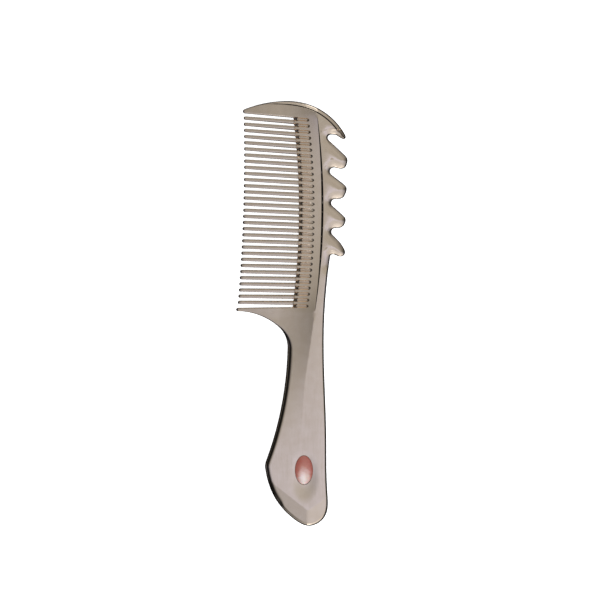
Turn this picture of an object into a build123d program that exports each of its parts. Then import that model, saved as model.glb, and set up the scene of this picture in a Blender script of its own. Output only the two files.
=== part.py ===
"""Steel grooming comb: a cast body with a scalloped scraper back, fine teeth, and an oval stone
set in the handle.

The comb lies on its back. X runs from the tooth tips to the scraper points, Y from the butt of
the handle to the crown of the head, and Z up out of the face. The origin is on the table, in the
middle of the comb's outline. Lengths are in millimetres and angles in degrees.
"""

import os
from math import cos, radians, sin

from build123d import *

# ---- driving dimensions -------------------------------------------------------------------
THICKNESS = 5.0  # spine and handle
MID = THICKNESS / 2  # parting plane, where the two halves of the casting mould met
EDGE_RADIUS = 0.6  # rounding all around the outline, both faces

TOOTH_COUNT = 31  # fine teeth between the two guards
FIRST_TOOTH_Y = 85.65  # centre line of the tooth next to the crown, at X = 0
LAST_TOOTH_Y = 4.68  # centre line of the tooth next to the handle, at X = 0
FIRST_TOOTH_ANGLE = -4.6  # the teeth fan out towards their tips
LAST_TOOTH_ANGLE = -0.6
TOOTH_PITCH = (FIRST_TOOTH_Y - LAST_TOOTH_Y) / (TOOTH_COUNT - 1)
ROOT_HALF_WIDTH = 0.94
ROOT_HALF_HEIGHT = 1.2
TIP_RADIUS = 0.76
ROOT_OVERRUN = 0.4  # extra length at the root before a tooth is trimmed to the arc

# Long shallow arcs along the head, each as the X and Y of its crest and its radius.
TIP_ARC = (-21.55, 72.0, 769.0)
ROOT_ARC = (3.05, 46.5, 336.0)

GROOVE_LENGTH = 7.05  # from the tooth roots to the round end of a groove
GROOVE_HALF_WIDTH = 0.41  # at the bottom, the same as the air between two teeth
GROOVE_TOP_HALF_WIDTH = 0.85
WEB_HALF_HEIGHT = 0.95  # the web left between two opposite grooves
WEDGE_LENGTH = 1.6  # the web thins to an edge over this length

SCOOP_DEPTH = 0.9  # how far the middle of the plate lies below the spine, on each face
SCOOP_LOW_Y = 0.8
SCOOP_HIGH_Y = 88.6
STEP_TOP = (11.2, 88.6)
STEP_MIDDLE = (14.0, 48.0)
STEP_LOW = (10.2, 0.8)

GUARD_TAPER_X = -2.0  # the two guards thin out from here
GUARD_END_X = -26.0
GUARD_DROP = 1.6
PLATE_TAPER_X = 8.0  # the plate thins out towards the tooth roots from here
PLATE_END_X = 0.0
PLATE_DROP = 0.6
POINT_TAPER_X = 17.0  # the scraper points thin out from here
POINT_END_X = 26.0
POINT_DROP = 1.2

BUTT_RIDGE_POINT = (7.1, -88.1)  # two shallow facets meet here at the end of the handle
BUTT_LEFT_OUTWARD = (-0.617, -0.787)
BUTT_RIGHT_OUTWARD = (0.570, -0.821)
BUTT_FACET_DROP = 1.4
BUTT_FACET_RUN = 12.0

STONE_CENTRE = (5.3, -70.0)
STONE_HALF_WIDTH = 4.0
STONE_HALF_LENGTH = 6.5
STONE_GIRDLE = 1.0
STONE_DOME = 1.9
ADHESIVE = 0.15
POCKET_CLEARANCE = 0.05
DISH_CENTRE = (5.5, -73.0)
DISH_HALF_WIDTH = 7.0
DISH_HALF_LENGTH = 12.4
DISH_SHRINK = 0.72
DISH_DEPTH = 0.6
POCKET_FLOOR = THICKNESS - DISH_DEPTH - STONE_GIRDLE - ADHESIVE

# The scraper edge, corner by corner from the crown down to the waist, and the round at each.
BACK_CORNERS = [
    (22.5, 81.9),
    (27.1, 74.8),
    (19.6, 79.9),
    (13.3, 80.25),
    (25.3, 69.15),
    (23.7, 64.2),
    (10.7, 67.15),
    (25.05, 56.35),
    (23.0, 51.2),
    (14.55, 51.1),
    (24.65, 42.2),
    (22.65, 38.2),
    (15.0, 38.2),
    (21.6, 31.6),
    (26.95, 23.2),
    (17.2, 26.9),
    (16.7, 23.3),
]
BACK_ROUNDS = [1.05, 2.5, 1.5, 1.3, 1.4, 1.85, 1.3, 1.4, 1.8, 1.3, 1.1, 1.8, 6.0, 2.0, 1.2]


def arc_x(arc, y):
    """X of a long shallow arc at height y."""
    crest_x, crest_y, radius = arc
    return crest_x - radius + (radius**2 - (y - crest_y) ** 2) ** 0.5


def tooth_line(number):
    """Y at X = 0 and the angle of a tooth; a half number gives the gap after that tooth."""
    share = number / (TOOTH_COUNT - 1)
    y = FIRST_TOOTH_Y - number * TOOTH_PITCH
    angle = FIRST_TOOTH_ANGLE + share * (LAST_TOOTH_ANGLE - FIRST_TOOTH_ANGLE)
    return y, angle


# ---- comb body: one casting with the guards, the scraper back and the handle ----------------
GUARD_TOP_ROOT = (arc_x(ROOT_ARC, 87.5), 87.5)
GUARD_LOW_ROOT = (arc_x(ROOT_ARC, 2.85), 2.85)

with BuildPart() as comb_body:
    with BuildSketch():
        with BuildLine():
            ThreePointArc((-21.8, 91.1), (-10.6, 94.3), (-1.8, 95.0))
            TangentArc((-1.8, 95.0), BACK_CORNERS[0], tangent=(1, 0))
            FilletPolyline(*BACK_CORNERS, radius=BACK_ROUNDS)
            waist = TangentArc(BACK_CORNERS[-1], (14.15, -13.0), tangent=(-0.139, -0.99))
            handle = Spline(
                waist @ 1,
                (14.6, -33.0),
                (15.3, -55.0),
                (15.8, -80.0),
                (14.3, -91.4),
                (8.0, -95.0),
                (0.3, -91.6),
                (-8.3, -81.5),
                (-12.1, -69.0),
                tangents=(waist % 1, (-0.12, 1)),
            )
            heel = TangentArc(handle @ 1, (-11.7, -66.0), tangent=handle % 1)
            neck = ThreePointArc(heel @ 1, (-6.2, -47.9), (-2.05, -15.0))
            crook = TangentArc(neck @ 1, (-6.2, -5.9), tangent=(0, 1))
            guard = TangentArc(crook @ 1, (-24.35, 0.93), tangent=crook % 1)
            nose = TangentArc(guard @ 1, (-24.4, 2.5), tangent=guard % 1)
            Line(nose @ 1, GUARD_LOW_ROOT)
            ThreePointArc(GUARD_LOW_ROOT, ROOT_ARC[:2], GUARD_TOP_ROOT)
            Line(GUARD_TOP_ROOT, (-21.0, 89.4))
            ThreePointArc((-21.0, 89.4), (-22.1, 90.2), (-21.8, 91.1))
        make_face()
    extrude(amount=THICKNESS)
    rim = comb_body.edges().filter_by(
        lambda edge: edge.bounding_box().size.Z < 0.01
        and not (edge.center().X < 5 and 2 < edge.center().Y < 90)
    )
    fillet(rim, EDGE_RADIUS)

# The scoop in the plate is a slice of a very long cylinder lying across the comb, cut off by the
# step that runs down between plate and spine.
with BuildPart() as scoop:
    with BuildSketch(Plane.YZ.offset(-30)):
        with BuildLine():
            ThreePointArc(
                (SCOOP_LOW_Y, THICKNESS),
                ((SCOOP_LOW_Y + SCOOP_HIGH_Y) / 2, THICKNESS - SCOOP_DEPTH),
                (SCOOP_HIGH_Y, THICKNESS),
            )
            Line((SCOOP_HIGH_Y, THICKNESS), (SCOOP_LOW_Y, THICKNESS))
        make_face()
    extrude(amount=50)
    with BuildSketch():
        with BuildLine():
            ThreePointArc(STEP_LOW, STEP_MIDDLE, STEP_TOP)
            Polyline(STEP_TOP, (-31, STEP_TOP[1]), (-31, STEP_LOW[1]), STEP_LOW)
        make_face()
    extrude(amount=THICKNESS + 1, mode=Mode.INTERSECT)


def thinning_wedge(start_x, end_x, drop, low_y, high_y):
    """The metal to take off a face so that it falls away in a straight line along X."""
    with BuildPart() as wedge:
        with BuildSketch(Plane.XZ.offset(-high_y)):
            with BuildLine():
                Polyline(
                    (start_x, THICKNESS),
                    (end_x, THICKNESS - drop),
                    (end_x, THICKNESS + 1),
                    (start_x, THICKNESS + 1),
                    close=True,
                )
            make_face()
        extrude(amount=high_y - low_y)
    return wedge.part


def butt_facet(outward):
    """The metal to take off one of the two shallow facets at the end of the handle."""
    hinge = Plane(
        origin=(BUTT_RIDGE_POINT[0], BUTT_RIDGE_POINT[1], THICKNESS),
        x_dir=(outward[0], outward[1], 0),
        z_dir=(-outward[1], outward[0], 0),
    )
    with BuildPart() as facet:
        with BuildSketch(hinge):
            with BuildLine():
                Polyline(
                    (0, 0),
                    (BUTT_FACET_RUN, BUTT_FACET_DROP),
                    (BUTT_FACET_RUN, -BUTT_FACET_DROP),
                    close=True,
                )
            make_face()
        extrude(amount=30, both=True)
    return facet.part


# One groove: as long as its profile, with sloping sides and a round far end. The web below it
# thins to an edge where it meets the air between the teeth.
with BuildPart() as groove:
    with BuildSketch(Plane.XZ):
        with BuildLine():
            Polyline((-1.2, 0), (0, 0), (WEDGE_LENGTH, WEB_HALF_HEIGHT), (6.2, WEB_HALF_HEIGHT))
            ThreePointArc((6.2, WEB_HALF_HEIGHT), (6.8, 1.2), (GROOVE_LENGTH, 1.8))
            Polyline((GROOVE_LENGTH, 1.8), (GROOVE_LENGTH, 3.5), (-1.2, 3.5), (-1.2, 0))
        make_face()
    extrude(amount=3, both=True)
    with BuildSketch(Plane.YZ.offset(-2)):
        with BuildLine():
            Polyline(
                (-GROOVE_HALF_WIDTH, 0),
                (-GROOVE_HALF_WIDTH, WEB_HALF_HEIGHT - 0.4),
                (-GROOVE_TOP_HALF_WIDTH, 2.0),
                (-GROOVE_TOP_HALF_WIDTH, 3.5),
                (GROOVE_TOP_HALF_WIDTH, 3.5),
                (GROOVE_TOP_HALF_WIDTH, 2.0),
                (GROOVE_HALF_WIDTH, WEB_HALF_HEIGHT - 0.4),
                (GROOVE_HALF_WIDTH, 0),
                close=True,
            )
        make_face()
    extrude(amount=12, mode=Mode.INTERSECT)


def root_place(number):
    """Where a tooth, or a gap, starts on the root arc, and which way it points."""
    y, angle = tooth_line(number)
    x = arc_x(ROOT_ARC, y)
    return Location((x, y + x * sin(radians(angle)), MID), (0, 0, angle))


top_cutters = [
    scoop.part,
    thinning_wedge(GUARD_TAPER_X, GUARD_END_X, GUARD_DROP, -12, 96),
    thinning_wedge(PLATE_TAPER_X, PLATE_END_X, PLATE_DROP, GUARD_LOW_ROOT[1], 96),
    thinning_wedge(POINT_TAPER_X, POINT_END_X, POINT_DROP, 18, 90),
    butt_facet(BUTT_LEFT_OUTWARD),
    butt_facet(BUTT_RIGHT_OUTWARD),
]
middle_plane = Plane.XY.offset(MID)

with BuildPart() as dish:
    with BuildSketch(Plane.XY.offset(THICKNESS + 0.01)):
        with Locations(DISH_CENTRE):
            Ellipse(DISH_HALF_WIDTH, DISH_HALF_LENGTH)
    with BuildSketch(Plane.XY.offset(THICKNESS - DISH_DEPTH)):
        with Locations(DISH_CENTRE):
            Ellipse(DISH_HALF_WIDTH * DISH_SHRINK, DISH_HALF_LENGTH * DISH_SHRINK)
    loft()

lower_groove = mirror(groove.part, about=Plane.XY)

with BuildPart() as finished_body:
    add(comb_body.part)
    for cutter in top_cutters:
        add(cutter, mode=Mode.SUBTRACT)
        mirror(cutter, about=middle_plane, mode=Mode.SUBTRACT)
    with Locations([root_place(number - 0.5) for number in range(TOOTH_COUNT + 1)]):
        add(groove.part, mode=Mode.SUBTRACT)
        add(lower_groove, mode=Mode.SUBTRACT)
    add(dish.part, mode=Mode.SUBTRACT)
    mirror(dish.part, about=middle_plane, mode=Mode.SUBTRACT)
    with BuildSketch(Plane.XY.offset(POCKET_FLOOR)):
        with Locations(STONE_CENTRE):
            Ellipse(STONE_HALF_WIDTH + POCKET_CLEARANCE, STONE_HALF_LENGTH + POCKET_CLEARANCE)
    extrude(amount=THICKNESS, mode=Mode.SUBTRACT)
finished_body.part.label = "comb_body"


# ---- fine teeth: oval bars that thin towards a ball end ---------------------------------------
# The air between the guards ends on the root arc, so a disc of that radius trims the teeth.
with BuildPart() as tooth_field:
    with BuildSketch():
        with Locations((ROOT_ARC[0] - ROOT_ARC[2], ROOT_ARC[1])):
            Circle(ROOT_ARC[2])
    extrude(amount=THICKNESS)


def fine_tooth(number):
    """One tooth, from its root face on the root arc to its ball end on the tip arc."""
    place = root_place(number)
    y, angle = tooth_line(number)
    root_x = place.position.X
    tip_x = arc_x(TIP_ARC, y + 2)
    length = (root_x - tip_x) / cos(radians(angle))
    with BuildPart() as tooth:
        with BuildSketch(Plane.YZ.offset(ROOT_OVERRUN)):
            Ellipse(ROOT_HALF_WIDTH, ROOT_HALF_HEIGHT)
        with BuildSketch(Plane.YZ.offset(TIP_RADIUS - length)):
            Circle(TIP_RADIUS)
        loft()
        with Locations((TIP_RADIUS - length, 0, 0)):
            Sphere(TIP_RADIUS)
    with BuildPart() as trimmed:
        with Locations(place):
            add(tooth.part)
        add(tooth_field.part, mode=Mode.INTERSECT)
    return trimmed.part


# ---- stone and its bed of adhesive --------------------------------------------------------------
with BuildPart() as dome:
    Sphere(1, arc_size1=0)
    scale(by=(STONE_HALF_WIDTH, STONE_HALF_LENGTH, STONE_DOME))

with BuildPart() as stone:
    with BuildSketch(Plane.XY.offset(POCKET_FLOOR + ADHESIVE)):
        with Locations(STONE_CENTRE):
            Ellipse(STONE_HALF_WIDTH, STONE_HALF_LENGTH)
    extrude(amount=STONE_GIRDLE)
    with Locations((*STONE_CENTRE, POCKET_FLOOR + ADHESIVE + STONE_GIRDLE)):
        add(dome.part)
stone.part.label = "stone"

with BuildPart() as adhesive:
    with BuildSketch(Plane.XY.offset(POCKET_FLOOR)):
        with Locations(STONE_CENTRE):
            Ellipse(STONE_HALF_WIDTH, STONE_HALF_LENGTH)
    extrude(amount=ADHESIVE)
adhesive.part.label = "adhesive"

# ---- export -------------------------------------------------------------------------------------
os.makedirs("parts", exist_ok=True)
export_step(finished_body.part, "parts/comb_body.step")
for tooth_number in range(TOOTH_COUNT):
    tooth_part = fine_tooth(tooth_number)
    tooth_part.label = f"tooth_{tooth_number + 1:02d}"
    export_step(tooth_part, f"parts/{tooth_part.label}.step")
export_step(stone.part, "parts/stone.step")
export_step(adhesive.part, "parts/adhesive.step")
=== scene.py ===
# %% [markdown]
# # Steel grooming comb
# This lesson finishes a pocket comb that was cast in one piece, plated and polished. The packed
# CAD model is the frame: it fixes where the casting and the stone are. Here the casting gets its
# real modelling, such as rolled edges, a dished plate and moulded tooth roots, and its finish.

# %% Load the frame
from math import cos, pi, radians, sin

import bmesh
import bpy
import numpy as np
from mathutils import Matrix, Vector
from mathutils.geometry import delaunay_2d_cdt
from mathutils.kdtree import KDTree


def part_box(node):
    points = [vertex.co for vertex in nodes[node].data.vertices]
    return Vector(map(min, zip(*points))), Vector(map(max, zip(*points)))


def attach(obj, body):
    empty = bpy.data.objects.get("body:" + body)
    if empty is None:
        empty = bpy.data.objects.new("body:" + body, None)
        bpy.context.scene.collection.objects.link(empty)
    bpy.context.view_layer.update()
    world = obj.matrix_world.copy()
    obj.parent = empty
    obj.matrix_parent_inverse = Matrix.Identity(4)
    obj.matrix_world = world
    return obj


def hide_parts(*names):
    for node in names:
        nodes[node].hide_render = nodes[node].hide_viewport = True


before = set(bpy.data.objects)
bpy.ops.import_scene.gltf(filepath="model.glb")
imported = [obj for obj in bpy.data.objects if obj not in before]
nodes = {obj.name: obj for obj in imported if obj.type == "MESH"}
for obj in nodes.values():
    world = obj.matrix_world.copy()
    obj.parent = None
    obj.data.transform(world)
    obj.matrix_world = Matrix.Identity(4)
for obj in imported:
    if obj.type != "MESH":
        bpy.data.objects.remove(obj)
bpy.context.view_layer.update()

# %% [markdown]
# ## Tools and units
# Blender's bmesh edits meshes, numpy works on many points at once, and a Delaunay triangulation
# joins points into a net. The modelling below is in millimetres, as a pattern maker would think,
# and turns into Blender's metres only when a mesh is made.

MM = 0.001
print("nodes in the frame:", len(nodes))

# %% [markdown]
# ## The comb's own measures
# A maker keeps the numbers of the pattern together. The long lines of the head are very shallow
# arcs, each given by its crest and radius. The teeth fan out, so each has its own line and angle.

# %% Measures, in millimetres
MIDDLE = 2.5
TOOTH_COUNT = 31
FIRST_TOOTH_Y = 85.65
LAST_TOOTH_Y = 4.68
FIRST_ANGLE = radians(-4.6)
LAST_ANGLE = radians(-0.6)
PITCH = (FIRST_TOOTH_Y - LAST_TOOTH_Y) / (TOOTH_COUNT - 1)
ANGLE_STEP = (LAST_ANGLE - FIRST_ANGLE) / (TOOTH_COUNT - 1)
ROOT_ARC = (3.05, 46.5, 336.0)
TIP_ARC = (-21.55, 72.0, 769.0)
GUARD_TOP_ROOT_Y = 87.5
GUARD_LOW_ROOT_Y = 2.85
STEP_POINTS = ((10.2, 0.8), (14.0, 48.0), (11.2, 88.6))


def arc_x(arc, y):
    """X of a shallow arc at a given y."""
    crest_x, crest_y, radius = arc
    return crest_x - radius + np.sqrt(radius**2 - (y - crest_y) ** 2)


def arc_through(low, middle, high):
    """The shallow arc, bulging towards +X, through three points."""
    (x1, y1), (x2, y2), (x3, y3) = low, middle, high
    a = np.array([[x2 - x1, y2 - y1], [x3 - x1, y3 - y1]]) * 2
    b = np.array([x2**2 + y2**2 - x1**2 - y1**2, x3**2 + y3**2 - x1**2 - y1**2])
    cx, cy = np.linalg.solve(a, b)
    radius = np.hypot(x1 - cx, y1 - cy)
    return cx + radius, cy, radius


def smooth(t):
    """0 to 1 with a soft start and a soft end."""
    t = np.clip(t, 0.0, 1.0)
    return t * t * (3 - 2 * t)


STEP_ARC = arc_through(*STEP_POINTS)
print("step arc crest and radius:", [round(float(v), 1) for v in STEP_ARC])

# %% [markdown]
# ## The outline
# The frame already holds the true outline, so the casting takes it from there: the CAD body is
# cut along its parting plane and the cut is walked round into one line. The CAD curve is made of
# short straight cuts, so the line is divided evenly and relaxed a little, as a file would. The
# noses of the five points get many more passes, because they are polished rounder.

# %% Cut the CAD body along its parting plane
CUT_HEIGHT = MIDDLE + 0.003
WELD_DISTANCE = 1e-7


def parting_loop(node):
    """The longest closed line where a node's mesh crosses the parting plane."""
    bm = bmesh.new()
    bm.from_mesh(node.data)
    bmesh.ops.remove_doubles(bm, verts=bm.verts, dist=WELD_DISTANCE)
    cut = bmesh.ops.bisect_plane(
        bm,
        geom=bm.verts[:] + bm.edges[:] + bm.faces[:],
        plane_co=(0, 0, CUT_HEIGHT * MM),
        plane_no=(0, 0, 1),
    )["geom_cut"]
    edges = [e for e in cut if isinstance(e, bmesh.types.BMEdge)]
    follow = {}
    for e in edges:
        a, b = e.verts
        follow.setdefault(a, []).append(b)
        follow.setdefault(b, []).append(a)
    best = []
    seen = set()
    for start in follow:
        if start in seen:
            continue
        walk = []
        ahead = [start]
        while ahead:
            walk.append(ahead[0])
            seen.add(ahead[0])
            ahead = [v for v in follow[walk[-1]] if v not in seen]
        if len(walk) > len(best):
            best = walk
    points = np.array([(v.co.x / MM, v.co.y / MM) for v in best])
    bm.free()
    return points


loop = parting_loop(nodes["comb_body"])
ahead = np.roll(loop, -1, axis=0)
area = 0.5 * np.sum(loop[:, 0] * ahead[:, 1] - loop[:, 1] * ahead[:, 0])
if area > 0:
    loop = loop[::-1]
print("loop points", len(loop), "area inside:", round(abs(float(area))), "mm2")

# %% Find the tooth roots in the line
NEAR_ARC = 0.1
GUARD_MARGIN = 0.02
on_root = (
    (np.abs(loop[:, 0] - arc_x(ROOT_ARC, loop[:, 1])) < NEAR_ARC)
    & (loop[:, 1] > GUARD_LOW_ROOT_Y + GUARD_MARGIN)
    & (loop[:, 1] < GUARD_TOP_ROOT_Y - GUARD_MARGIN)
)
starts = np.flatnonzero(on_root & ~np.roll(on_root, -1))
print("points on the root arc:", int(on_root.sum()), "in runs:", len(starts))

# %% Straighten the line and start it at the crown end of the tooth field
last_on_root = int(starts[0])
loop = np.roll(loop, -(last_on_root + 1), axis=0)
on_root = np.roll(on_root, -(last_on_root + 1))
chain = loop[~on_root]
if chain[0, 1] < chain[-1, 1]:
    chain = chain[::-1]
top_root = (arc_x(ROOT_ARC, GUARD_TOP_ROOT_Y), GUARD_TOP_ROOT_Y)
low_root = (arc_x(ROOT_ARC, GUARD_LOW_ROOT_Y), GUARD_LOW_ROOT_Y)
chain[0] = top_root
chain[-1] = low_root
print("body line from the crown's root to the guard's root:", len(chain), "points")

# %% Divide the line evenly and relax it
EDGE_SPACING = 0.4
EDGE_PASSES = 14
NOSE_START_X = 20.0
NOSE_BLEND = 2.5
NOSE_PASSES = 260
CLAWS_LOW_Y = 18.0
CLAWS_HIGH_Y = 82.0


def beside_claws(y):
    """Whether y lies where the scraper points stand."""
    return (y > CLAWS_LOW_Y) & (y < CLAWS_HIGH_Y)


def evenly(points, spacing):
    """The same open line with points at an even spacing."""
    steps = np.hypot(*np.diff(points, axis=0).T)
    along = np.concatenate([[0], np.cumsum(steps)])
    count = int(round(along[-1] / spacing))
    at = np.linspace(0, along[-1], count + 1)
    return np.column_stack([np.interp(at, along, axis) for axis in points.T])


def relax(points, passes, weight=1.0):
    """Pull each point of an open line towards the middle of its neighbours, in place."""
    for _ in range(passes):
        middles = 0.5 * (points[:-2] + points[2:])
        points[1:-1] += 0.5 * weight * (middles - points[1:-1])


fine = evenly(chain, EDGE_SPACING / 4)
relax(fine, EDGE_PASSES)
on_nose = smooth((fine[1:-1, 0] - NOSE_START_X) / NOSE_BLEND) * beside_claws(fine[1:-1, 1])
relax(fine, NOSE_PASSES, on_nose[:, None])
body_edge = evenly(fine, EDGE_SPACING)
edge_low = np.round(body_edge.min(axis=0), 2)
edge_high = np.round(body_edge.max(axis=0), 2)
print("body outline points:", len(body_edge), "from", edge_low, "to", edge_high)

# %% [markdown]
# ## The teeth and the grooves between them
# A tooth is a bar with a nearly flat top and steep side walls, and it thins to a ball end. Behind
# the roots the mould leaves a short groove in line with each gap, with a web at its floor that
# thins to an edge where the gap starts. Any point of the head is placed by how far it lies along
# a tooth and across it, so one set of measures serves all the teeth.

# %% Tooth and groove measures
ROOT_HALF_WIDTH = 0.95
ROOT_BELOW_FACE = 0.03
TOP_CROWNING = 0.06
TIP_RADIUS = 0.77
TOOTH_END_Y_LEAD = 2.0
WEB_HALF_HEIGHT = 0.95
WEDGE_LENGTH = 1.4
END_STRETCH = 1.3
FLOOR_RISE = 0.06
GROOVE_STRAIGHT = 6.0
GROOVE_HALF_WIDTH = 0.80
GROOVE_FLOOR_HALF_WIDTH = 0.30
LAND_BLEND = 0.3
SLOT_HALF_WIDTH = 0.86
SLOT_FLOOR_HALF_WIDTH = 0.74
SLOT_NARROWING = 0.4
WALL = 0.16
WALL_GROWTH = 0.007
WALL_LEVEL_Y = 57.0
print("air between two teeth at their roots:", round(PITCH - 2 * ROOT_HALF_WIDTH, 2), "mm")


# %% Where each tooth and gap lies
NUMBER_PASSES = 4
ROOT_PASSES = 5


def tooth_line(number, x):
    """Y of a tooth's centre line at X; a half number gives the gap after that tooth."""
    return FIRST_TOOTH_Y - number * PITCH + x * np.tan(FIRST_ANGLE + number * ANGLE_STEP)


def tooth_number(x, y):
    """The fractional tooth number whose line passes through a point."""
    number = (FIRST_TOOTH_Y - y) / PITCH
    for _ in range(NUMBER_PASSES):
        number = number + (tooth_line(number, x) - y) / PITCH
    return number


def root_point(number):
    """Where a tooth, or a gap, starts on the root arc."""
    x = 2.0
    for _ in range(ROOT_PASSES):
        x = arc_x(ROOT_ARC, tooth_line(number, x))
    return float(x), float(tooth_line(number, x))


def tooth_frame(number):
    """Root point, unit direction along the tooth away from the root, unit direction across."""
    angle = FIRST_ANGLE + number * ANGLE_STEP
    root = np.array(root_point(number))
    along = np.array([cos(angle), sin(angle)])
    across = np.array([-sin(angle), cos(angle)])
    return root, along, across


print("the first tooth starts at", [round(v, 2) for v in root_point(0)])


# %% How long and wide a tooth is
def tooth_length(number):
    """From the root arc to the tip of the ball end."""
    root_x, root_y = root_point(number)
    tip_x = arc_x(TIP_ARC, tooth_line(number, 0.0) + TOOTH_END_Y_LEAD)
    return float((root_x - tip_x) / cos(FIRST_ANGLE + number * ANGLE_STEP))


def half_width(share):
    """Half the width of a tooth; share is 0 at the root and 1 at the start of the ball end."""
    return ROOT_HALF_WIDTH + (TIP_RADIUS - ROOT_HALF_WIDTH) * share


def tooth_walls(root_y):
    """Width of the upper and the lower side wall of a tooth, as seen from above."""
    upper = WALL + WALL_GROWTH * np.clip(WALL_LEVEL_Y - root_y, 0, None)
    lower = WALL + WALL_GROWTH * np.clip(root_y - WALL_LEVEL_Y, 0, None)
    return upper, lower


LENGTHS = np.array([tooth_length(n) for n in range(TOOTH_COUNT)])
GAP_NUMBERS = np.arange(TOOTH_COUNT + 1) - 0.5
GAP_ROOT_X = np.array([root_point(n)[0] for n in GAP_NUMBERS])
print("tooth lengths:", round(float(LENGTHS.min()), 2), "to", round(float(LENGTHS.max()), 2), "mm")


# %% Outline with every tooth and gap
BALL_TURNS = [radians(a) for a in range(80, -81, -16)]
SIDE_SHARES = np.linspace(0, 1, 25) ** 1.15


def tooth_outline(number):
    """One tooth from its lower root, round its ball end, to its upper root."""
    root, along, across = tooth_frame(number)
    reach = LENGTHS[number] - TIP_RADIUS
    lower = [root - along * (s * reach) - across * half_width(s) for s in SIDE_SHARES]
    upper = [root - along * (s * reach) + across * half_width(s) for s in SIDE_SHARES]
    centre = root - along * reach
    ball = [centre - TIP_RADIUS * (along * cos(t) + across * sin(t)) for t in BALL_TURNS]
    return lower + ball + upper[::-1]


outline = [tuple(p) for p in body_edge]
for number in reversed(range(TOOTH_COUNT)):
    outline.append(root_point(number + 0.5))
    outline.extend(tuple(p) for p in tooth_outline(number))
outline.append(root_point(-0.5))
outline = np.array(outline)
print("outline points with teeth:", len(outline))

# %% [markdown]
# ## Relief of the faces
# The two faces of a casting come from two halves of one mould. So each face is a height above
# the parting plane, and one set of formulas can say it: the scooped plate and its step, the
# slope that carries on down the neck, the guards and claws that thin towards their tips, a soft
# ridge along each claw, the dish round the stone, and two shallow facets at the butt.

# %% Relief measures, in millimetres
SCOOP_DEPTH = 0.9
SCOOP_LOW_Y = 0.8
SCOOP_HIGH_Y = 88.6
SLOPE_LENGTH = 16.0
SLOPE_POWER = 1.6
END_SLOPE_DROP = 1.0
GUARD_START_X = -2.0
GUARD_DROP = 0.75
GUARD_POWER = 1.5
GUARD_LENGTH = 23.0
GUARD_FADE = (-9.0, 7.0)
CLAW_START_X = 16.0
CLAW_DROP = 0.9
CLAW_POWER = 1.3
CLAW_LENGTH = 9.0
CLAW_RIDGES = (
    ((14.5, 86.0), (23.5, 78.3)),
    ((14.5, 73.3), (24.6, 67.8)),
    ((14.5, 58.9), (24.2, 54.4)),
    ((14.5, 45.5), (23.7, 40.5)),
    ((14.5, 32.2), (23.5, 26.1)),
)
RIDGE_SLOPE = 0.075
RIDGE_ROUNDING = 0.5
RIDGE_FADE_X = (13.6, 6.0)
RIDGE_FADE_LOW_Y = (15.0, 10.0)
RIDGE_FADE_HIGH_Y = (87.0, 4.0)
STONE_CENTRE = (5.3, -70.0)
STONE_SIZE = (4.0, 6.5)
POCKET_SIZE = (4.12, 6.62)
POCKET_TOP = 0.75
POCKET_INSIDE = 0.999
DISH_CENTRE = (5.5, -73.0)
DISH_SIZE = (7.05, 12.4)
DISH_DEPTH = 0.25
DISH_FLAT_SHARE = 0.25
BUTT_POINT = (7.1, -88.1)
BUTT_OUTWARDS = ((-0.617, -0.787), (0.570, -0.821))
BUTT_SLOPE = 0.095
FOLD_POINTS = ((10.2, 0.8), (8.2, -14.0), (5.8, -30.0), (3.5, -57.0))
FOLD_END = 62.0
print("claws with a ridge:", len(CLAW_RIDGES))


# %% Helpers for the relief
def fade_in(value, fade):
    """0 up to a start and 1 after a blend; a fade is (start, blend)."""
    start, blend = fade
    return smooth((value - start) / blend)


def scoop_fade(y):
    """How deep the scoop is at y, from 0 at both ends to 1 in the middle."""
    middle_y = (SCOOP_LOW_Y + SCOOP_HIGH_Y) / 2
    reach_y = (SCOOP_HIGH_Y - SCOOP_LOW_Y) / 2
    return np.clip(1 - ((y - middle_y) / reach_y) ** 2, 0, None)


def oval(x, y, centre, size):
    """Distance from a centre as a share of an oval's size; 1 is on the oval."""
    return np.hypot((x - centre[0]) / size[0], (y - centre[1]) / size[1])


def fold_x(y):
    """X of the soft fold that carries the step on down the handle."""
    ys = [p[1] for p in FOLD_POINTS][::-1]
    xs = [p[0] for p in FOLD_POINTS][::-1]
    return np.interp(y, ys, xs)


def ridge_drop(x, y):
    """How far the claws fall away on both sides of the soft ridge that runs to each point."""
    nearest = np.full_like(x, np.inf)
    for (start_x, start_y), (tip_x, tip_y) in CLAW_RIDGES:
        run = np.hypot(tip_x - start_x, tip_y - start_y)
        across = (x - start_x) * (tip_y - start_y) - (y - start_y) * (tip_x - start_x)
        nearest = np.minimum(nearest, np.abs(across) / run)
    drop = RIDGE_SLOPE * (np.hypot(nearest, RIDGE_ROUNDING) - RIDGE_ROUNDING)
    top_y, top_blend = RIDGE_FADE_HIGH_Y
    drop = drop * fade_in(x, RIDGE_FADE_X) * fade_in(y, RIDGE_FADE_LOW_Y)
    return drop * smooth((top_y - y) / top_blend)


print("the fold runs from", FOLD_POINTS[0], "down to", FOLD_POINTS[-1])


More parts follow.
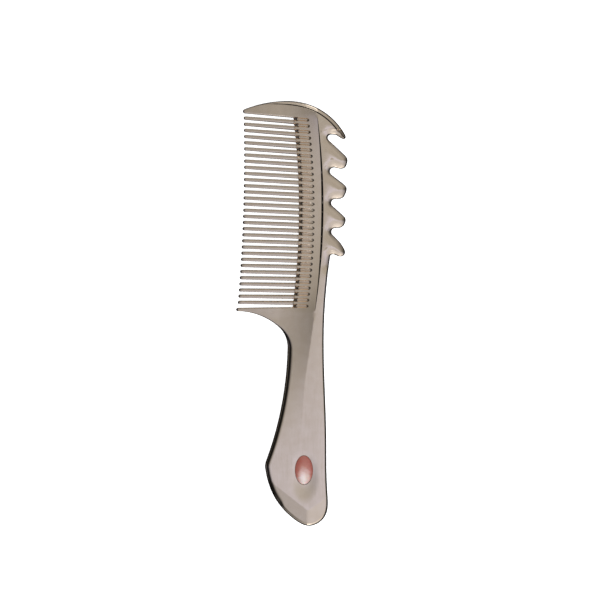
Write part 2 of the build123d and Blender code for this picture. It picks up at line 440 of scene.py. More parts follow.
# %% The face before its grooves
def face_half(x, y, with_pocket):
    """Half thickness before the grooves and the rolled edge."""
    half = np.full_like(x, MIDDLE)
    fade = scoop_fade(y)
    behind_step = arc_x(STEP_ARC, y) - x
    half -= np.clip(behind_step, 0, SCOOP_DEPTH * fade)
    behind_fold = np.where(y > SCOOP_LOW_Y, behind_step, fold_x(y) - x)
    ahead = 1 - np.clip(behind_fold / SLOPE_LENGTH, 0, 1)
    slope = END_SLOPE_DROP * (1 - fade) * (1 - ahead**SLOPE_POWER)
    half -= slope * smooth((y + FOLD_END) / FOLD_END)
    guard = np.clip((GUARD_START_X - x) / GUARD_LENGTH, 0, None)
    half -= GUARD_DROP * guard**GUARD_POWER * fade_in(y, GUARD_FADE)
    claw = np.clip((x - CLAW_START_X) / CLAW_LENGTH, 0, None)
    half -= CLAW_DROP * claw**CLAW_POWER * beside_claws(y)
    half -= ridge_drop(x, y)
    for outward in BUTT_OUTWARDS:
        beyond = (x - BUTT_POINT[0]) * outward[0] + (y - BUTT_POINT[1]) * outward[1]
        half = np.minimum(half, MIDDLE - BUTT_SLOPE * np.clip(beyond, 0, None))
    out = oval(x, y, DISH_CENTRE, DISH_SIZE)
    half -= DISH_DEPTH * (1 - smooth((out - DISH_FLAT_SHARE) / (1 - DISH_FLAT_SHARE)))
    if with_pocket:
        in_pocket = oval(x, y, STONE_CENTRE, POCKET_SIZE) < POCKET_INSIDE
        half = np.where(in_pocket, POCKET_TOP, half)
    return half


ROOTS = np.array([root_point(n) for n in range(TOOTH_COUNT)])
ROOT_HEIGHTS = face_half(ROOTS[:, 0], ROOTS[:, 1], False) - ROOT_BELOW_FACE
print("half height of the teeth at their roots:", np.round(ROOT_HEIGHTS.min(), 2), "mm or more")

# %% [markdown]
# ## Relief of the teeth and the grooves
# On a tooth the height falls from the face's level at the root to the ball end's radius at the
# tip. Behind the roots the lands between the grooves run straight on from the teeth, and each
# groove has a nearly flat floor, sloping walls and a round end. They could be cut with dozens of
# small boolean solids, but a formula leaves no seams and no slivers, and a change to one measure
# reaches all of them.


# %% The height on the teeth and in the grooves
def field_half(x, y, face):
    """Half thickness on the teeth and in the grooves, blended into the face behind them."""
    number = tooth_number(x, y)
    nearest = np.clip(np.round(number), 0, TOOTH_COUNT - 1)
    gap = np.clip(np.round(number - 0.5) + 0.5, -0.5, TOOTH_COUNT - 0.5)
    slant = np.cos(FIRST_ANGLE + nearest * ANGLE_STEP)
    above = (nearest - number) * PITCH * slant
    from_gap = np.abs(number - gap) * PITCH * slant
    behind = (x - arc_x(ROOT_ARC, y)) / slant
    length = LENGTHS[nearest.astype(int)] - TIP_RADIUS
    share = np.clip(-behind / length, 0, 1)
    width = half_width(share)
    root_height = ROOT_HEIGHTS[nearest.astype(int)]
    height = root_height + (TIP_RADIUS - root_height) * share
    past = np.clip(-behind - length, 0, None)
    upper, lower = tooth_walls(ROOTS[nearest.astype(int), 1])
    wall = np.where(above > 0, upper, lower)
    down_wall = np.clip((np.abs(above) - width) / wall + 1, 0, 1)
    crowning = TOP_CROWNING * (above / width) ** 2
    level = np.clip(1 - crowning - down_wall**2 - (past / TIP_RADIUS) ** 2, 0, 1)
    tooth = height * np.sqrt(level)
    on_guard = (number < -0.5) | (number > TOOTH_COUNT - 0.5)
    ridge = tooth + (face - tooth) * smooth(behind / LAND_BLEND)
    ridge = np.where(on_guard, face, ridge)
    floor_half = WEB_HALF_HEIGHT * np.clip(behind / WEDGE_LENGTH, 0, 1)
    floor_half += FLOOR_RISE * np.clip(behind - WEDGE_LENGTH, 0, None)
    into_groove = (x - np.interp(gap, GAP_NUMBERS, GAP_ROOT_X)) / slant
    round_end = np.hypot(np.clip(into_groove - GROOVE_STRAIGHT, 0, None) / END_STRETCH, from_gap)
    settled = smooth((behind - WEDGE_LENGTH) / SLOT_NARROWING)
    wall_top = SLOT_HALF_WIDTH + (GROOVE_HALF_WIDTH - SLOT_HALF_WIDTH) * settled
    floor_edge = SLOT_FLOOR_HALF_WIDTH + (GROOVE_FLOOR_HALF_WIDTH - SLOT_FLOOR_HALF_WIDTH) * settled
    open_share = np.clip(1 - (round_end - floor_edge) / (wall_top - floor_edge), 0, 1)
    groove = ridge + (floor_half - ridge) * open_share
    return np.where(behind < 0, np.where(on_guard, face, tooth), groove)


print("grooves behind the gaps:", GROOVE_STRAIGHT + END_STRETCH * GROOVE_HALF_WIDTH, "mm long")

# %% [markdown]
# ## The rolled edge
# Polishing rolls the edge by a different amount from place to place: broad along the inside of
# the handle, where the hand closes, and narrow at the guards. Each point of the outline carries
# its own roll, softened along the line. The claws also swell towards their middles, and the crown
# has a ledge along its outer side, with a low bevel outside it. Blender's bevel modifier would
# give one width all round, so the roll is worked into the height of the face instead.

# %% Edge measures: width, depth, depth of swelling and share of the ledge
GUARD_ROLL = (0.5, 0.5, 0.0, 0.0)
CROWN_ROLL = (0.6, 0.6, 0.0)
CLAW_ROLL = (0.5, 0.5, 0.75, 0.0)
BUTT_ROLL = (1.3, 1.1, 0.0, 0.0)
SPINE_ROLL = (1.0, 1.2, 0.15, 0.0)
NECK_ROLL = (0.5, 0.5)
NECK_GROWTH = (1.6, 1.2)
NECK_GROWTH_START_Y = -3.0
NECK_GROWTH_LENGTH = 14.0
NECK_BELOW_X = 3.0
CLAW_ABOVE_X = 16.2
CLAW_ABOVE_Y = 17.0
BUTT_BELOW_Y = -86.0
LEDGE_FADE = (-24.0, 28.0)
HOOK_TIP = (23.9, 77.6)
GUARD_TIP = (-25.0, 86.6)
hook_tip = int(np.argmin(np.hypot(*(body_edge - HOOK_TIP).T)))
guard_tip = int(np.argmin(np.hypot(*(body_edge[: len(body_edge) // 4] - GUARD_TIP).T)))
print("the crown's line runs from point", guard_tip, "to point", hook_tip)


# %% The roll at each point of the outline
def edge_roll(index):
    """Width and depth of the roll, depth of the swelling and share of the ledge, at a point."""
    x, y = body_edge[index]
    if index <= guard_tip:
        return GUARD_ROLL
    if index <= hook_tip:
        return (*CROWN_ROLL, fade_in(x, LEDGE_FADE))
    if x > CLAW_ABOVE_X and y > CLAW_ABOVE_Y:
        return CLAW_ROLL
    if y < BUTT_BELOW_Y:
        return BUTT_ROLL
    if x < NECK_BELOW_X:
        turn = smooth((NECK_GROWTH_START_Y - y) / NECK_GROWTH_LENGTH)
        width, depth = (start + grow * turn for start, grow in zip(NECK_ROLL, NECK_GROWTH))
        return width, depth, 0.0, 0.0
    return SPINE_ROLL


ROLL_BLEND_POINTS = 7
rolls = np.array([edge_roll(index) for index in range(len(body_edge))])
kernel = np.hanning(2 * ROLL_BLEND_POINTS + 1)
kernel /= kernel.sum()
for column in range(rolls.shape[1]):
    padded = np.pad(rolls[:, column], ROLL_BLEND_POINTS, mode="edge")
    rolls[:, column] = np.convolve(padded, kernel, mode="valid")
widths = rolls[:, 0]
print("edge roll from", round(float(widths.min()), 2), "to", round(float(widths.max()), 2))

# %% The nearest edge
BATCH = 2000


def nearest_edge(x, y):
    """Distance to the body's outline, and the roll there, for many points at once."""
    distance = np.empty(len(x))
    roll = np.empty((len(x), rolls.shape[1]))
    a = body_edge[:-1]
    b = body_edge[1:]
    run = b - a
    run_square = (run**2).sum(axis=1)
    for first in range(0, len(x), BATCH):
        batch = slice(first, first + BATCH)
        px = x[batch, None]
        py = y[batch, None]
        t = ((px - a[:, 0]) * run[:, 0] + (py - a[:, 1]) * run[:, 1]) / run_square
        t = np.clip(t, 0, 1)
        dx = px - (a[:, 0] + t * run[:, 0])
        dy = py - (a[:, 1] + t * run[:, 1])
        square = dx * dx + dy * dy
        best = square.argmin(axis=1)
        row = np.arange(len(best))
        distance[batch] = np.sqrt(square[row, best])
        share = t[row, best][:, None]
        roll[batch] = rolls[best] * (1 - share) + rolls[best + 1] * share
    return distance, roll


stone_edge, _ = nearest_edge(np.array(STONE_CENTRE[:1]), np.array(STONE_CENTRE[1:]))
print("from the stone's middle to the nearest edge:", round(float(stone_edge[0]), 1), "mm")

# %% The whole relief
SWELL_REACH = 4.2
FIELD_NUMBERS = (-0.9, TOOTH_COUNT - 0.1)
FIELD_MAX_X = 14.0
UNROLLED_REACH = 0.8
LEAST_HALF = 0.04
LEDGE_WIDTH = 2.2
LEDGE_RUN = 0.6
LEDGE_DROP = 0.65
BEVEL_DROP = 0.95


def relief(x, y, with_pocket):
    """Height of a face above the parting plane, in millimetres."""
    face = face_half(x, y, with_pocket)
    distance, roll = nearest_edge(x, y)
    number = tooth_number(x, y)
    in_field = (number > FIELD_NUMBERS[0]) & (number < FIELD_NUMBERS[1]) & (x < FIELD_MAX_X)
    half = np.where(in_field, field_half(x, y, face), face)
    on_tooth = (number > -0.5) & (number < TOOTH_COUNT - 0.5)
    on_tooth &= x < arc_x(ROOT_ARC, y) + UNROLLED_REACH
    t = np.clip(distance / roll[:, 0], 0, 1)
    half_rolled = half - roll[:, 1] * (1 - np.sqrt(np.clip(1 - (1 - t) ** 2, 0, 1)))
    half_rolled -= roll[:, 2] * np.clip(1 - distance / SWELL_REACH, 0, 1) ** 2
    from_ledge = LEDGE_WIDTH * roll[:, 3] - distance
    half_rolled -= roll[:, 3] * LEDGE_DROP * np.clip(from_ledge / LEDGE_RUN, 0, 1)
    half_rolled -= roll[:, 3] * BEVEL_DROP * np.clip((from_ledge - LEDGE_RUN) / LEDGE_WIDTH, 0, 1)
    return np.maximum(np.where(on_tooth, half, half_rolled), LEAST_HALF)


print("the crown's bevel lies", LEDGE_DROP, "to", round(LEDGE_DROP + BEVEL_DROP, 2), "mm down")

# %% [markdown]
# ## The casting's mesh
# One mesh has to carry long smooth faces and small crisp ones, so guide lines are laid first:
# rings that follow the outline, lines along every tooth and groove, and lines at the step, the
# dish and the facets. Between them goes a loose field of points, and a Delaunay triangulation
# joins them all without crossing a guide line. A plain grid fine enough for the teeth would spend
# most of its points on the flat handle.

# %% Guide lines
RING_SHARES = (0.03, 0.12, 0.27, 0.47, 0.72, 1.0, 1.3)
SWELL_RINGS = (1.0, 1.5, 2.0, 2.5, 3.0, 3.6)
LEDGE_DEPTHS = (-0.08, 0.0, 0.08, LEDGE_RUN - 0.08, LEDGE_RUN, LEDGE_RUN + 0.08, LEDGE_RUN + 0.5)
LEAST_LEDGE_DEPTH = 0.05
WITH_LEDGE = 0.15
WITH_SWELL = 0.1
guide_points = []
guide_edges = []


def add_guide(points, closed=False):
    """A guide line through points; where a point is None the line breaks."""
    previous = None
    first = None
    for p in points:
        if p is None:
            previous = None
            continue
        guide_points.append((float(p[0]), float(p[1])))
        index = len(guide_points) - 1
        if previous is not None:
            guide_edges.append((previous, index))
        previous = index
        if first is None:
            first = index
    if closed:
        guide_edges.append((previous, first))


guide_points.extend((float(px), float(py)) for px, py in outline)
outline_count = len(outline)
print("guide points on the outline:", outline_count)

# %% Rings that follow the outline
FOLD_CHECK = 0.97
FIELD_WIDTH = 8.0
FIELD_LOW_Y = 3.3
tangent = np.gradient(body_edge, axis=0)
tangent /= np.hypot(tangent[:, 0], tangent[:, 1])[:, None]
inward = np.column_stack([tangent[:, 1], -tangent[:, 0]])


def offset_ring(depth):
    """The outline moved inwards by a depth that may vary, broken where it would fold."""
    moved = body_edge + inward * np.broadcast_to(depth, len(body_edge))[:, None]
    distance, _ = nearest_edge(moved[:, 0], moved[:, 1])
    good = distance > FOLD_CHECK * np.broadcast_to(depth, len(body_edge))
    near_field = moved[:, 0] < arc_x(ROOT_ARC, moved[:, 1]) + FIELD_WIDTH
    near_field &= moved[:, 1] > FIELD_LOW_Y
    near_field &= moved[:, 1] < tooth_line(-0.5, moved[:, 0])
    good &= ~near_field
    return [tuple(p) if g else None for p, g in zip(moved, good)]


for share in RING_SHARES:
    add_guide(offset_ring(rolls[:, 0] * share))
with_ledge = rolls[:, 3] > WITH_LEDGE
for depth in LEDGE_DEPTHS:
    ring = offset_ring(np.maximum(LEDGE_WIDTH * rolls[:, 3] - depth, LEAST_LEDGE_DEPTH))
    add_guide([p if s else None for p, s in zip(ring, with_ledge)])
swelling = rolls[:, 2] > WITH_SWELL
for depth in SWELL_RINGS:
    ring = offset_ring(np.full(len(body_edge), depth))
    add_guide([p if s else None for p, s in zip(ring[::2], swelling[::2])])
print("points on the outline and its rings:", len(guide_points))

# %% Guide lines on the teeth
WALL_SHARES = (0.04, 0.15, 0.35, 0.6, 0.8, 0.93, 1.0)
BALL_RINGS = (0.25, 0.5, 0.72, 0.88, 0.96)
END_TURNS = [radians(a) for a in range(-75, 76, 15)]

for number in range(TOOTH_COUNT):
    root, along, across = tooth_frame(number)
    reach = LENGTHS[number] - TIP_RADIUS
    middle_line = [root - along * s * reach for s in SIDE_SHARES]
    add_guide(middle_line)
    upper, lower = tooth_walls(root[1])
    for wall in WALL_SHARES:
        for side, width in ((1, upper), (-1, lower)):
            off = [half_width(s) - width * wall for s in SIDE_SHARES]
            add_guide([p + across * side * o for p, o in zip(middle_line, off)])
    centre = root - along * reach
    for share in BALL_RINGS:
        ring = TIP_RADIUS * share
        add_guide([centre - ring * (along * cos(t) + across * sin(t)) for t in END_TURNS])
print("points with the teeth:", len(guide_points))

# %% Guide lines in the grooves
GROOVE_LINES = (0.0, 0.2, 0.29, 0.32, 0.45, 0.60, 0.73, 0.75, 0.79, 0.82, 0.86, 0.92)
OUTER_RINGS = (1.05, 1.3)
GROOVE_STEPS = np.concatenate([np.linspace(0.02, 2.0, 11), np.linspace(2.5, GROOVE_STRAIGHT, 6)])

for gap in range(TOOTH_COUNT + 1):
    root, along, across = tooth_frame(gap - 0.5)
    for v in GROOVE_LINES:
        for side in (-1, 1) if v else (1,):
            add_guide([root + along * u + across * side * v for u in GROOVE_STEPS])
    centre = root + along * GROOVE_STRAIGHT
    long = along * END_STRETCH
    for ring in GROOVE_LINES[1:] + OUTER_RINGS:
        add_guide([centre + ring * (long * cos(t) + across * sin(t)) for t in END_TURNS])
print("points with teeth and grooves:", len(guide_points))

# %% Guide lines along the step
STEP_YS = np.arange(SCOOP_LOW_Y, SCOOP_HIGH_Y + 0.1, 1.0)
STEP_OFFSETS = (0.25, 0.06, 0.0)
for offset in STEP_OFFSETS:
    add_guide([(arc_x(STEP_ARC, y) + offset, y) for y in STEP_YS])
for offset in reversed(STEP_OFFSETS):
    foot = [arc_x(STEP_ARC, y) - offset - SCOOP_DEPTH * scoop_fade(y) for y in STEP_YS[1:-1]]
    add_guide(zip(foot, STEP_YS[1:-1]))
print("points with the step:", len(guide_points))

# %% Guide lines at the dish, the pocket, the facets and the fold
DISH_RINGS = (1.06, 1.0, 0.96, 0.9, 0.83, 0.76)
POCKET_RINGS = (1.012, 1.0, 0.985)
FACET_OFFSETS = (-0.3, 0.0, 0.3)
FACET_STEPS = np.arange(0.2, 18, 0.9)
FOLD_OFFSETS = (-0.4, 0.0, 0.4)
FOLD_YS = np.arange(-2.0, -60.0, -2.0)
OVAL_TURNS = np.linspace(0, 2 * pi, 96, endpoint=False)


def add_oval(centre, size, share):
    """A closed guide line round an oval."""
    xs = [centre[0] + size[0] * share * cos(t) for t in OVAL_TURNS]
    ys = [centre[1] + size[1] * share * sin(t) for t in OVAL_TURNS]
    add_guide(zip(xs, ys), closed=True)


for share in DISH_RINGS:
    add_oval(DISH_CENTRE, DISH_SIZE, share)
for share in POCKET_RINGS:
    add_oval(STONE_CENTRE, POCKET_SIZE, share)
for outward in BUTT_OUTWARDS:
    side = np.array([-outward[1], outward[0]])
    side *= np.sign(side[0]) * np.sign(outward[0])
    for offset in FACET_OFFSETS:
        start = np.array(BUTT_POINT) + np.array(outward) * offset
        add_guide([start + side * step for step in FACET_STEPS])
for offset in FOLD_OFFSETS:
    add_guide([(float(fold_x(y)) + offset, y) for y in FOLD_YS])
print("points with the face lines:", len(guide_points))


# %% Loose points between the guide lines
GRID = 0.9
ROW_RATIO = 0.866
GRID_X = (-25.5, 26.0)
GRID_Y = (-95.0, 96.0)
CLEAR_OF_GUIDES = 0.5
NO_ZERO = 1e-12


def inside(points, polygon):
    """Which points lie inside a closed polygon."""
    x = points[:, 0][:, None]
    y = points[:, 1][:, None]
    x1, y1 = polygon.T
    x2, y2 = np.roll(polygon, -1, axis=0).T
    edge_x = (x2 - x1) * (y - y1) / (y2 - y1 + NO_ZERO) + x1
    crosses = ((y1 > y) != (y2 > y)) & (x < edge_x)
    return crosses.sum(axis=1) % 2 == 1


rows = np.arange(*GRID_Y, GRID * ROW_RATIO)
grid = []
for index, y in enumerate(rows):
    shift = GRID / 2 if index % 2 else 0.0
    grid.extend((x + shift, y) for x in np.arange(*GRID_X, GRID))
grid = np.array(grid)
grid = grid[inside(grid, outline)]
tree = KDTree(len(guide_points))
for index, (px, py) in enumerate(guide_points):
    tree.insert((px, py, 0), index)
tree.balance()
loose = [(px, py) for px, py in grid if tree.find((px, py, 0))[2] > CLEAR_OF_GUIDES]
print("loose points:", len(loose))

# %% Triangulate
all_points = [Vector(p) for p in guide_points] + [Vector(p) for p in loose]
INSIDE_ONLY = 1
SAME_POINT = 1e-4
flat_points, _, flat_faces, _, _, _ = delaunay_2d_cdt(
    all_points, guide_edges, [list(range(outline_count))], INSIDE_ONLY, SAME_POINT
)
print("triangulated:", len(flat_points), "points", len(flat_faces), "faces")

# %% [markdown]
# ## Raise both faces
# The flat net is lifted twice, once for each half of the mould, and the two skins are sewn
# together along the outline. Blender's solidify modifier could thicken one skin, but it makes
# both faces alike, and here the front has the pocket for the stone and the back has none.

# %% Raise the net and close its edge
xy = np.array([(p.x, p.y) for p in flat_points])
front = relief(xy[:, 0], xy[:, 1], True)
back = relief(xy[:, 0], xy[:, 1], False)
rim_edges = {}
for face in flat_faces:
    for a, b in zip(face, face[1:] + face[:1]):
        key = (min(a, b), max(a, b))
        rim_edges[key] = None if key in rim_edges else (a, b)
rim_edges = [pair for pair in rim_edges.values() if pair]
count = len(xy)
verts = [(px * MM, py * MM, (MIDDLE + h) * MM) for (px, py), h in zip(xy, front)]
verts += [(px * MM, py * MM, (MIDDLE - h) * MM) for (px, py), h in zip(xy, back)]
faces = [tuple(f) for f in flat_faces]
faces += [tuple(i + count for i in reversed(f)) for f in flat_faces]
faces += [(b, a, a + count, b + count) for a, b in rim_edges]
print("rim edges:", len(rim_edges), "highest front point:", round(float(front.max() + MIDDLE), 3))

# %% Make the casting
SHARP_ANGLE = radians(50)
casting_mesh = bpy.data.meshes.new("casting")
casting_mesh.from_pydata(verts, [], faces)
bm = bmesh.new()
bm.from_mesh(casting_mesh)
bmesh.ops.recalc_face_normals(bm, faces=bm.faces)
open_edges = sum(1 for e in bm.edges if len(e.link_faces) != 2)
for f in bm.faces:
    f.smooth = True
bm.to_mesh(casting_mesh)
bm.free()
casting_mesh.set_sharp_from_angle(angle=SHARP_ANGLE)
casting = bpy.data.objects.new("casting", casting_mesh)
bpy.context.collection.objects.link(casting)
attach(casting, "root")
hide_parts("comb_body", *[name for name in nodes if name.startswith("tooth_")])
print("casting faces:", len(casting_mesh.polygons), "edges not shared by two:", open_edges)

# %% [markdown]
# ## The stone
# The stone is a cabochon, an oval with a straight girdle that sits in the pocket and a low
# polished dome above it. It could be a squashed sphere, but that has no girdle, so it is built
# ring by ring from its flat base. The dome is truly round and has no seam, and the stone sits
# exactly where the frame's stone is.

# %% Cabochon
DOME_TURNS = [radians(a) for a in (86, 80, 72, 62, 52, 42, 32, 22, 12, 5)]
AROUND = 96
GIRDLE_HEIGHT = 0.75
stone_low, stone_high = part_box("stone")
base_z = stone_low[2] / MM
girdle_z = base_z + GIRDLE_HEIGHT
dome = stone_high[2] / MM - girdle_z
stone_rings = [(1.0, base_z), (1.0, girdle_z)]
stone_rings += [(sin(t), girdle_z + dome * cos(t)) for t in DOME_TURNS]
turns = [2 * pi * k / AROUND for k in range(AROUND)]
verts = []
for scale, z in stone_rings:
    for t in turns:
        px = STONE_CENTRE[0] + STONE_SIZE[0] * scale * cos(t)
        py = STONE_CENTRE[1] + STONE_SIZE[1] * scale * sin(t)
        verts.append((px * MM, py * MM, z * MM))
top = len(verts)
verts.append((STONE_CENTRE[0] * MM, STONE_CENTRE[1] * MM, stone_high[2]))
faces = [tuple(reversed(range(AROUND)))]
for ring in range(len(stone_rings) - 1):
    low = ring * AROUND
    high = low + AROUND
    for k in range(AROUND):
        n = (k + 1) % AROUND
        faces.append((low + k, low + n, high + n, high + k))
last = (len(stone_rings) - 1) * AROUND
faces += [(last + k, last + (k + 1) % AROUND, top) for k in range(AROUND)]
stone_mesh = bpy.data.meshes.new("cabochon")
stone_mesh.from_pydata(verts, [], faces)
for f in stone_mesh.polygons:
    f.use_smooth = True
stone_mesh.set_sharp_from_angle(angle=SHARP_ANGLE)
stone = bpy.data.objects.new("cabochon", stone_mesh)
bpy.context.collection.objects.link(stone)
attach(stone, "root")
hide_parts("stone")
print("stone faces:", len(stone_mesh.polygons), "dome height:", round(dome, 2), "mm")

# %% [markdown]
# ## Finishes
# Every finish is made from node patterns measured in metres on the object itself, so it stays in
# place from any side. A few helpers keep each one short: a noise pattern, a two colour mix that
# follows it, a number that follows it, and a fine bump.


# %% Helpers for a new finish and its noise
def new_finish(name):
    """A new material with its shader and its node tree."""
    material = bpy.data.materials.new(name)
    material.use_nodes = True
    tree = material.node_tree
    return material, tree, tree.nodes["Principled BSDF"]


def noise(tree, scale, detail=3.0, stretch=(1, 1, 1)):
    """A noise pattern in the object's own metres; scale is patches to the metre."""
    coordinate = tree.nodes.new("ShaderNodeTexCoord")
    mapping = tree.nodes.new("ShaderNodeMapping")
    mapping.inputs["Scale"].default_value = stretch
    tree.links.new(coordinate.outputs["Object"], mapping.inputs["Vector"])
    pattern = tree.nodes.new("ShaderNodeTexNoise")
    pattern.inputs["Scale"].default_value = scale
    pattern.inputs["Detail"].default_value = detail
    tree.links.new(mapping.outputs["Vector"], pattern.inputs["Vector"])
    return pattern.outputs["Fac"]


print("noise helper ready")


# %% Helpers that turn a pattern into numbers, colours and bumps
def numbers(tree, source, low, high, start=0.3, end=0.7):
    """A number that goes from low to high as the source goes from start to end."""
    span = tree.nodes.new("ShaderNodeMapRange")
    span.inputs["From Min"].default_value = start
    span.inputs["From Max"].default_value = end
    span.inputs["To Min"].default_value = low
    span.inputs["To Max"].default_value = high
    tree.links.new(source, span.inputs["Value"])
    return span.outputs["Result"]


def colours(tree, source, stops):
    """A colour that follows the source through a few stops of (place, colour)."""
    ramp = tree.nodes.new("ShaderNodeValToRGB")
    elements = ramp.color_ramp.elements
    while len(elements) < len(stops):
        elements.new(0.5)
    for element, (place, colour) in zip(elements, stops):
        element.position = place
        element.color = (*colour, 1)
    tree.links.new(source, ramp.inputs["Fac"])
    return ramp.outputs["Color"]


def bump(tree, shader, source, distance, strength):
    """Fine unevenness on a shader; distance is in metres."""
    node = tree.nodes.new("ShaderNodeBump")
    node.inputs["Distance"].default_value = distance
    node.inputs["Strength"].default_value = strength
    tree.links.new(source, node.inputs["Height"])
    tree.links.new(node.outputs["Normal"], shader.inputs["Normal"])


print("finish helpers ready")

# %% [markdown]
# ### Polished plating
# The casting is plated with a warm, slightly brown steel colour and buffed along its length. One
# colour and one roughness all over would look drawn, not made. So the colour drifts a little, and
# long faint streaks change how sharply the surface mirrors. The ripples that the buffing wheel
# leaves are far finer than a hair.

# %% Finish of the casting
plating, plating_tree, plating_shader = new_finish("polished plating")
drift = noise(plating_tree, 260.0, 4.0)
plate_colour = colours(
    plating_tree, drift, [(0.32, (0.88, 0.737, 0.585)), (0.68, (0.925, 0.787, 0.64))]
)
plating_tree.links.new(plate_colour, plating_shader.inputs["Base Color"])
streaks = noise(plating_tree, 1600.0, 3.0, (1, 0.06, 1))
plating_tree.links.new(
    numbers(plating_tree, streaks, 0.09, 0.17), plating_shader.inputs["Roughness"]
)
bump(plating_tree, plating_shader, noise(plating_tree, 700.0, 2.0, (1, 0.1, 1)), 0.000003, 0.5)
plating_shader.inputs["Metallic"].default_value = 1.0
casting_mesh.materials.append(plating)
print("plating nodes:", len(plating_tree.nodes))

# %% [markdown]
# ### Rose stone
# The stone's own colour is a deep rose, seen at its top. Towards the butt a painted highlight turns
# it to a milky, nearly white pink, standing in for the soft glint of light on the lower half of the
# dome. The painted highlight is a gradient round an upright line through the stone, because that
# stays in the stone from every side, and noise makes its edge soft and uneven. The dome is
# polished, so a clear coat gives it the wet shine.

# %% Finish of the stone
rose, rose_tree, rose_shader = new_finish("rose stone")
# Painted highlight: centre and reach of the pale oval painted into the stone's colour.
HIGHLIGHT_CENTRE = (5.3, -74.0)
HIGHLIGHT_REACH = (4.7, 8.4)
coordinate = rose_tree.nodes.new("ShaderNodeTexCoord")
to_highlight = rose_tree.nodes.new("ShaderNodeMapping")
highlight_scale = [1 / (reach * MM) for reach in HIGHLIGHT_REACH]
to_highlight.inputs["Scale"].default_value = (*highlight_scale, 0)
to_highlight.inputs["Location"].default_value = (
    -HIGHLIGHT_CENTRE[0] * MM * highlight_scale[0],
    -HIGHLIGHT_CENTRE[1] * MM * highlight_scale[1],
    0,
)
highlight_pattern = rose_tree.nodes.new("ShaderNodeTexGradient")
highlight_pattern.gradient_type = "SPHERICAL"
rose_tree.links.new(coordinate.outputs["Object"], to_highlight.inputs["Vector"])
rose_tree.links.new(to_highlight.outputs["Vector"], highlight_pattern.inputs["Vector"])
painted_highlight = highlight_pattern.outputs["Fac"]
wander = numbers(rose_tree, noise(rose_tree, 420.0, 4.0), -0.10, 0.10)
summed = rose_tree.nodes.new("ShaderNodeMath")
summed.operation = "ADD"
rose_tree.links.new(painted_highlight, summed.inputs[0])
rose_tree.links.new(wander, summed.inputs[1])
# The deep rose stops are the stone's own colour; the pale stops paint the highlight.
ROSE_AND_HIGHLIGHT_STOPS = [
    (0.05, (0.47, 0.155, 0.12)),
    (0.30, (0.52, 0.21, 0.17)),
    (0.52, (0.70, 0.45, 0.40)),
    (0.75, (0.86, 0.72, 0.68)),
    (1.0, (0.94, 0.87, 0.84)),
]
rose_tree.links.new(
    colours(rose_tree, summed.outputs["Value"], ROSE_AND_HIGHLIGHT_STOPS), rose_shader.inputs["Base Color"]
)
rose_tree.links.new(
    numbers(rose_tree, noise(rose_tree, 900.0), 0.10, 0.22), rose_shader.inputs["Roughness"]
)
bump(rose_tree, rose_shader, noise(rose_tree, 700.0, 2.0), 0.000006, 0.4)
rose_shader.inputs["Coat Weight"].default_value = 1.0
rose_shader.inputs["Coat Roughness"].default_value = 0.08
rose_shader.inputs["Subsurface Weight"].default_value = 0.15
rose_shader.inputs["Subsurface Scale"].default_value = 0.001
stone_mesh.materials.append(rose)
print("stone nodes:", len(rose_tree.nodes))

# %% [markdown]
# ### Adhesive
# A thin film of resin holds the stone in its pocket. It is amber and a little cloudy with fine
# bubbles, and it is never quite level. The stone hides it, so it keeps the frame's own plain
# shape and only gets a finish.

# %% Finish of the adhesive
resin, resin_tree, resin_shader = new_finish("amber resin")
bubbles = noise(resin_tree, 1200.0, 5.0)
resin_colour = colours(
    resin_tree, bubbles, [(0.35, (0.42, 0.33, 0.22)), (0.7, (0.62, 0.54, 0.42))]
)
resin_tree.links.new(resin_colour, resin_shader.inputs["Base Color"])
resin_tree.links.new(numbers(resin_tree, bubbles, 0.22, 0.42), resin_shader.inputs["Roughness"])
bump(resin_tree, resin_shader, bubbles, 0.00002, 0.4)
nodes["adhesive"].data.materials.clear()
nodes["adhesive"].data.materials.append(resin)
print("adhesive finish set on the frame's own node")

# %% [markdown]
# ## Table
# The comb lies on a lit white table, the kind used for catalogue pictures, so it has no shadow.
# The table glows by itself but stays out of the metal's reflections, because a bright sheet below
# would wash out the dark line of the rolled edges.

# %% Table
TABLE_HALF = 3.0
TABLE_Z = -0.0001
corners = [(-1, -1), (1, -1), (1, 1), (-1, 1)]
table_mesh = bpy.data.meshes.new("table")
table_corners = [(a * TABLE_HALF, b * TABLE_HALF, TABLE_Z) for a, b in corners]
table_mesh.from_pydata(table_corners, [], [(0, 1, 2, 3)])
table = bpy.data.objects.new("table", table_mesh)
bpy.context.collection.objects.link(table)
table_finish, _, table_shader = new_finish("lit white table")
table_shader.inputs["Base Color"].default_value = (0.9, 0.9, 0.9, 1)
table_shader.inputs["Roughness"].default_value = 0.8
table_shader.inputs["Emission Color"].default_value = (1, 1, 1, 1)
table_shader.inputs["Emission Strength"].default_value = 0.95
table_mesh.materials.append(table_finish)
table.visible_glossy = False
print("table size:", 2 * TABLE_HALF, "m")

# %% [markdown]
# ## Sky
# What a mirror finish shows is its surroundings, so the sky matters more than any lamp. It is a
# big soft glow overhead, dark to both sides and a little brighter and cooler towards the butt.
# The dark sides draw the black line along the rolled edges. Close to the horizon it turns paler
# again, so the comb looks bright from low down too. Lamps could do it, but each would leave its
# own outline in the metal. Each list below gives the sky's strength, or its colour, from one side
# of the room to the other, so one side can be set without touching the rest.

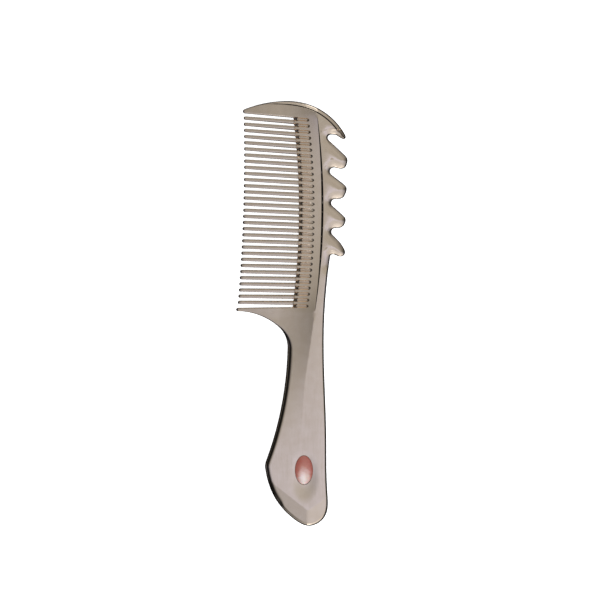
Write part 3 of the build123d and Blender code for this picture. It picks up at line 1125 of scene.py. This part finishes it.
# %% Sky
SKY_BY_HEIGHT = [
    (-1, 0.03), (-0.5, 0.02), (-0.2, 0.02), (0.0, 0.03), (0.07, 0.2),
    (0.2, 0.2), (0.28, 0.08), (0.5, 0.5), (0.75, 0.66), (0.95, 0.50),
]
SKY_BY_WIDTH = [
    (-1, 0.8), (-0.96, 0.5), (-0.9, 0.05), (-0.78, 0.01), (-0.5, 0.01), (-0.3, 0.2),
    (-0.18, 0.6), (-0.1, 0.82), (0.0, 1.0), (0.2, 1.08), (0.5, 0.9),
    (0.75, 0.1), (0.9, 0.03), (0.96, 0.4), (1, 0.8),
]
SKY_CARD_ENDS = [(-0.75, 0.6), (-0.5, 0.0), (0.3, 0.0), (0.5, 0.8)]
SKY_BY_LENGTH = [
    (-1, (1.5, 1.5, 1.5)), (-0.6, (1.45, 1.45, 1.5)), (-0.4, (1.1, 1.1, 1.15)),
    (-0.24, (1.15, 1.16, 1.26)), (-0.07, (1.27, 1.30, 1.60)), (-0.03, (1.13, 1.15, 1.34)),
    (0.0, (0.97, 0.97, 1.0)), (0.05, (0.84, 0.83, 0.80)), (0.3, (0.8, 0.78, 0.75)),
    (0.9, (0.7, 0.7, 0.7)),
]
world = bpy.data.worlds.new("studio")
bpy.context.scene.world = world
world.use_nodes = True
sky_tree = world.node_tree
sky = sky_tree.nodes["Background"]
direction = sky_tree.nodes.new("ShaderNodeTexCoord")
shares = sky_tree.nodes.new("ShaderNodeSeparateXYZ")
sky_tree.links.new(direction.outputs["Generated"], shares.inputs["Vector"])


def along_axis(axis, stops):
    """A colour that follows the sky's direction along an axis, through stops from -1 to 1."""
    place = numbers(sky_tree, shares.outputs[axis], 0.0, 1.0, -1.0, 1.0)
    triples = [(s, v if isinstance(v, tuple) else (v, v, v)) for s, v in stops]
    return colours(sky_tree, place, [((s + 1) / 2, v) for s, v in triples])


def combine(operation, first, second):
    """Two numbers brought together by a sum, a product or the larger of the two."""
    node = sky_tree.nodes.new("ShaderNodeMath")
    node.operation = operation
    sky_tree.links.new(first, node.inputs[0])
    sky_tree.links.new(second, node.inputs[1])
    return node.outputs["Value"]


across_sky = combine("MAXIMUM", along_axis("X", SKY_BY_WIDTH), along_axis("Y", SKY_CARD_ENDS))
strength = combine("MULTIPLY", along_axis("Z", SKY_BY_HEIGHT), across_sky)
sky_tree.links.new(strength, sky.inputs["Strength"])
sky_tree.links.new(along_axis("Y", SKY_BY_LENGTH), sky.inputs["Color"])
print("sky nodes:", len(sky_tree.nodes))

# %% [markdown]
# ## Soft boxes
# Two small soft lights, past the crown and past the butt, put a glint on the edges that face
# them. A wide one hangs overhead and only lights what is not a mirror: the stone, the resin and
# the table. It is kept out of reflections, or it would show as a pale square in the metal.


# %% Soft boxes
def soft_box(name, size, energy, place, aim):
    """A rectangular soft light that faces a point."""
    light = bpy.data.lights.new(name, "AREA")
    light.shape = "RECTANGLE"
    light.size, light.size_y = size
    light.energy = energy
    box = bpy.data.objects.new(name, light)
    bpy.context.collection.objects.link(box)
    box.location = place
    box.rotation_euler = (Vector(aim) - Vector(place)).to_track_quat("-Z", "Y").to_euler()
    return box


soft_box("crown softbox", (0.25, 0.35), 0.4, (0.24, 0.92, 0.55), (0, 0.05, 0))
soft_box("butt softbox", (0.30, 0.30), 0.6, (0.02, -0.95, 0.50), (0, -0.05, 0))
fill = soft_box("fill", (1.2, 1.2), 12.5, (0.2, -0.3, 1.4), (0, 0, 0))
fill.visible_glossy = False
print("soft boxes:", len(bpy.data.lights))

# %% [markdown]
# ## Camera
# The comb is seen from straight above with a long lens, so its plan is shown without distortion.
# The lens follows from the width of the view and the camera's distance.

# %% Camera
VIEW_WIDTH = 268.4 * MM
AIM = (3.53, 5.97)
DISTANCE = 1.5
SENSOR = 36.0
camera_data = bpy.data.cameras.new("camera")
camera = bpy.data.objects.new("camera", camera_data)
bpy.context.collection.objects.link(camera)
camera.location = (AIM[0] * MM, AIM[1] * MM, DISTANCE + MIDDLE * MM)
camera_data.sensor_width = SENSOR
camera_data.lens = SENSOR * DISTANCE / VIEW_WIDTH
bpy.context.scene.camera = camera
bpy.context.scene.view_settings.view_transform = "Standard"
print("camera lens:", round(camera_data.lens, 1), "mm")
